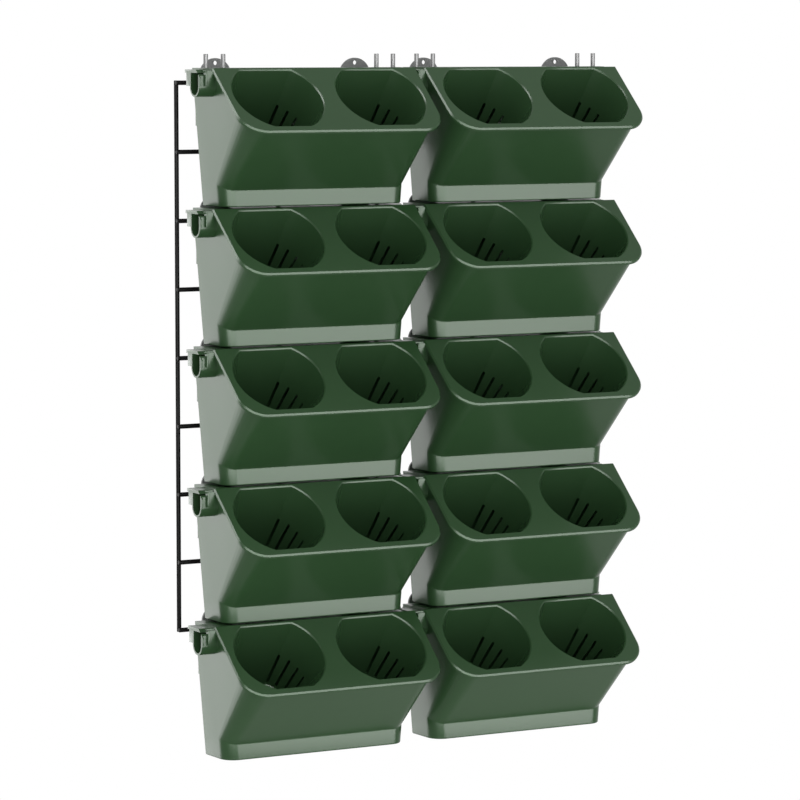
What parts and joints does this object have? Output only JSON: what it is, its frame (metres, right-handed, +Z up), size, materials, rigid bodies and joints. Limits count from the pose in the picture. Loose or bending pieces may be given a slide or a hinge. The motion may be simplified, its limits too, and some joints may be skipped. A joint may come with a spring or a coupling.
{
  "type": "wall hanging planter pot set",
  "caption": "Wall planter of stacked double pots with slanted openings, lift-out cup inserts and linking spouts, hung by steel hook strips on a welded wire grid.",
  "frame": {"origin": "middle of the top row of hook holes, on the back faces of the hook tongues", "axes": "+Z up, +X to the right as seen from the front, the planting openings face -Y and the wall is on the +Y side"},
  "size_m": [0.525, 0.1744, 0.7631],
  "materials": {
    "pot": "semi-gloss moulded dark green",
    "insert": "semi-gloss moulded dark green",
    "hook": "dull plated strip",
    "stub": "dull tube",
    "grid": "black coating"
  },
  "bodies": {
    "frame": {"grid_levels": "grid", "grid_uprights": "grid", "hooks_1": "hook", "hooks_2": "hook", "hooks_3": "hook", "hooks_4": "hook", "hooks_5": "hook"},
    "tier_5": {"pot_5_left": "pot", "pot_5_right": "pot", "loops_5": "pot"},
    "tier_4": {"pot_4_left": "pot", "pot_4_right": "pot", "loops_4": "pot"},
    "tier_3": {"pot_3_left": "pot", "pot_3_right": "pot", "loops_3": "pot"},
    "tier_2": {"pot_2_left": "pot", "pot_2_right": "pot", "loops_2": "pot"},
    "tier_1": {"pot_1_left": "pot", "pot_1_right": "pot", "loops_1": "pot", "feed_stubs_left": "stub", "feed_stubs_right": "stub"},
    "insert_1_left": {"insert_1_left": "insert"},
    "insert_1_right": {"insert_1_right": "insert"},
    "insert_2_left": {"insert_2_left": "insert"},
    "insert_2_right": {"insert_2_right": "insert"},
    "insert_3_left": {"insert_3_left": "insert"},
    "insert_3_right": {"insert_3_right": "insert"},
    "insert_4_left": {"insert_4_left": "insert"},
    "insert_4_right": {"insert_4_right": "insert"},
    "insert_5_left": {"insert_5_left": "insert"},
    "insert_5_right": {"insert_5_right": "insert"}
  },
  "joints": [
    {"name": "lift_tier_5", "type": "slide", "parent": "frame", "child": "tier_5", "axis": [0, 0, 1], "range_m": [0, 0.025]},
    {"name": "lift_tier_4", "type": "slide", "parent": "tier_5", "child": "tier_4", "axis": [0, 0, 1], "range_m": [0, 0.025]},
    {"name": "lift_tier_3", "type": "slide", "parent": "tier_4", "child": "tier_3", "axis": [0, 0, 1], "range_m": [0, 0.025]},
    {"name": "lift_tier_2", "type": "slide", "parent": "tier_3", "child": "tier_2", "axis": [0, 0, 1], "range_m": [0, 0.025]},
    {"name": "lift_tier_1", "type": "slide", "parent": "tier_2", "child": "tier_1", "axis": [0, 0, 1], "range_m": [0, 0.08]},
    {"name": "draw_insert_1_left", "type": "slide", "parent": "tier_1", "child": "insert_1_left", "axis": [0, -0.6587, 0.7524], "range_m": [0, 0.095]},
    {"name": "draw_insert_1_right", "type": "slide", "parent": "tier_1", "child": "insert_1_right", "axis": [0, -0.6587, 0.7524], "range_m": [0, 0.095]},
    {"name": "draw_insert_2_left", "type": "slide", "parent": "tier_2", "child": "insert_2_left", "axis": [0, -0.6587, 0.7524], "range_m": [0, 0.095]},
    {"name": "draw_insert_2_right", "type": "slide", "parent": "tier_2", "child": "insert_2_right", "axis": [0, -0.6587, 0.7524], "range_m": [0, 0.095]},
    {"name": "draw_insert_3_left", "type": "slide", "parent": "tier_3", "child": "insert_3_left", "axis": [0, -0.6587, 0.7524], "range_m": [0, 0.095]},
    {"name": "draw_insert_3_right", "type": "slide", "parent": "tier_3", "child": "insert_3_right", "axis": [0, -0.6587, 0.7524], "range_m": [0, 0.095]},
    {"name": "draw_insert_4_left", "type": "slide", "parent": "tier_4", "child": "insert_4_left", "axis": [0, -0.6587, 0.7524], "range_m": [0, 0.095]},
    {"name": "draw_insert_4_right", "type": "slide", "parent": "tier_4", "child": "insert_4_right", "axis": [0, -0.6587, 0.7524], "range_m": [0, 0.095]},
    {"name": "draw_insert_5_left", "type": "slide", "parent": "tier_5", "child": "insert_5_left", "axis": [0, -0.6587, 0.7524], "range_m": [0, 0.095]},
    {"name": "draw_insert_5_right", "type": "slide", "parent": "tier_5", "child": "insert_5_right", "axis": [0, -0.6587, 0.7524], "range_m": [0, 0.095]}
  ]
}
